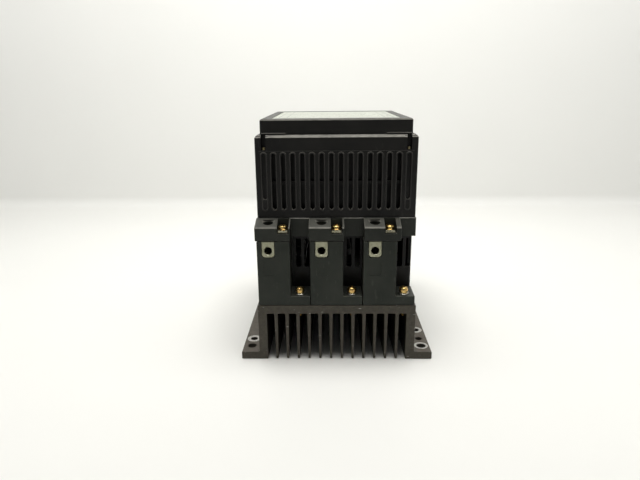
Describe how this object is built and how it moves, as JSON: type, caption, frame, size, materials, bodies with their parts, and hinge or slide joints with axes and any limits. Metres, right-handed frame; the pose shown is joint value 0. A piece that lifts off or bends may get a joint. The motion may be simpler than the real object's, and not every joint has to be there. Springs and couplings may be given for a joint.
{
  "type": "solid state relay",
  "caption": "Three-phase solid state relay on a finned heat sink, with box-lug terminal blocks at both ends, a slotted hood and a lift-off lid.",
  "frame": {"origin": "on the mounting plane of the heat sink, under the middle of the relay", "axes": "+X across the relay, +Y from the line terminals to the load terminals, +Z away from the mounting surface, towards the lid"},
  "size_m": [0.175, 0.194, 0.2155],
  "materials": {
    "anodised_aluminium": "black anodised extrusion, browner on the flanges, with bare worn rings round the fixing holes",
    "block_plastic": "greenish dark grey moulded plastic",
    "case_plastic": "near-black satin moulded plastic",
    "tinned_brass": "dull tin plate",
    "tinned_copper": "tin-plated copper bar",
    "yellow_zinc_steel": "yellow zinc plate",
    "label_film": "blank printed film, satin",
    "module_plastic": "light grey moulded plastic",
    "circuit_board": "green solder mask",
    "capacitor_case": "yellow capacitor box",
    "varistor_epoxy": "blue epoxy dip",
    "connector_plastic": "green connector plastic"
  },
  "bodies": {
    "relay": {"heat_sink": "anodised_aluminium", "terminal_block_line_1": "block_plastic", "box_lug_line_1": "tinned_brass", "busbar_line_1": "tinned_copper", "block_screw_line_1": "yellow_zinc_steel", "terminal_block_line_2": "block_plastic", "box_lug_line_2": "tinned_brass", "busbar_line_2": "tinned_copper", "block_screw_line_2": "yellow_zinc_steel", "terminal_block_line_3": "block_plastic", "box_lug_line_3": "tinned_brass", "busbar_line_3": "tinned_copper", "block_screw_line_3": "yellow_zinc_steel", "terminal_block_load_1": "block_plastic", "box_lug_load_1": "tinned_brass", "busbar_load_1": "tinned_copper", "block_screw_load_1": "yellow_zinc_steel", "terminal_block_load_2": "block_plastic", "box_lug_load_2": "tinned_brass", "busbar_load_2": "tinned_copper", "block_screw_load_2": "yellow_zinc_steel", "terminal_block_load_3": "block_plastic", "box_lug_load_3": "tinned_brass", "busbar_load_3": "tinned_copper", "block_screw_load_3": "yellow_zinc_steel", "lower_casing": "case_plastic", "mid_frame": "case_plastic", "terminal_cover_line": "case_plastic", "terminal_cover_load": "case_plastic", "vent_housing": "case_plastic", "housing_screw_1": "yellow_zinc_steel", "housing_screw_2": "yellow_zinc_steel", "housing_screw_3": "yellow_zinc_steel", "housing_screw_4": "yellow_zinc_steel", "power_module_1": "module_plastic", "power_module_2": "module_plastic", "power_module_3": "module_plastic", "snubber_board": "circuit_board", "control_board": "circuit_board", "snubber_capacitor_1": "capacitor_case", "snubber_capacitor_2": "capacitor_case", "snubber_capacitor_3": "capacitor_case", "varistor_1": "varistor_epoxy", "varistor_2": "varistor_epoxy", "varistor_3": "varistor_epoxy", "control_terminal": "connector_plastic"},
    "lid": {"lid": "case_plastic", "lid_label": "label_film"},
    "clamp_screw_line_1": {"lug_screw_line_1": "yellow_zinc_steel"},
    "clamp_screw_line_2": {"lug_screw_line_2": "yellow_zinc_steel"},
    "clamp_screw_line_3": {"lug_screw_line_3": "yellow_zinc_steel"},
    "clamp_screw_load_1": {"lug_screw_load_1": "yellow_zinc_steel"},
    "clamp_screw_load_2": {"lug_screw_load_2": "yellow_zinc_steel"},
    "clamp_screw_load_3": {"lug_screw_load_3": "yellow_zinc_steel"},
    "terminal_screw_line_1": {"aux_screw_line_1": "yellow_zinc_steel"},
    "terminal_screw_line_2": {"aux_screw_line_2": "yellow_zinc_steel"},
    "terminal_screw_line_3": {"aux_screw_line_3": "yellow_zinc_steel"},
    "terminal_screw_load_1": {"aux_screw_load_1": "yellow_zinc_steel"},
    "terminal_screw_load_2": {"aux_screw_load_2": "yellow_zinc_steel"},
    "terminal_screw_load_3": {"aux_screw_load_3": "yellow_zinc_steel"}
  },
  "joints": [
    {"name": "lid_lift", "type": "slide", "parent": "relay", "child": "lid", "axis": [0, 0, 1], "range_m": [0, 0.05]},
    {"name": "clamp_line_1", "type": "slide", "parent": "relay", "child": "clamp_screw_line_1", "axis": [0, 0, 1], "range_m": [-0.0048, 0.0012]},
    {"name": "clamp_line_2", "type": "slide", "parent": "relay", "child": "clamp_screw_line_2", "axis": [0, 0, 1], "range_m": [-0.0048, 0.0012]},
    {"name": "clamp_line_3", "type": "slide", "parent": "relay", "child": "clamp_screw_line_3", "axis": [0, 0, 1], "range_m": [-0.0048, 0.0012]},
    {"name": "clamp_load_1", "type": "slide", "parent": "relay", "child": "clamp_screw_load_1", "axis": [0, 0, 1], "range_m": [-0.0048, 0.0012]},
    {"name": "clamp_load_2", "type": "slide", "parent": "relay", "child": "clamp_screw_load_2", "axis": [0, 0, 1], "range_m": [-0.0048, 0.0012]},
    {"name": "clamp_load_3", "type": "slide", "parent": "relay", "child": "clamp_screw_load_3", "axis": [0, 0, 1], "range_m": [-0.0048, 0.0012]},
    {"name": "terminal_line_1", "type": "slide", "parent": "relay", "child": "terminal_screw_line_1", "axis": [0, 0, 1], "range_m": [0, 0.003]},
    {"name": "terminal_line_2", "type": "slide", "parent": "relay", "child": "terminal_screw_line_2", "axis": [0, 0, 1], "range_m": [0, 0.003]},
    {"name": "terminal_line_3", "type": "slide", "parent": "relay", "child": "terminal_screw_line_3", "axis": [0, 0, 1], "range_m": [0, 0.003]},
    {"name": "terminal_load_1", "type": "slide", "parent": "relay", "child": "terminal_screw_load_1", "axis": [0, 0, 1], "range_m": [0, 0.003]},
    {"name": "terminal_load_2", "type": "slide", "parent": "relay", "child": "terminal_screw_load_2", "axis": [0, 0, 1], "range_m": [0, 0.003]},
    {"name": "terminal_load_3", "type": "slide", "parent": "relay", "child": "terminal_screw_load_3", "axis": [0, 0, 1], "range_m": [0, 0.003]}
  ]
}
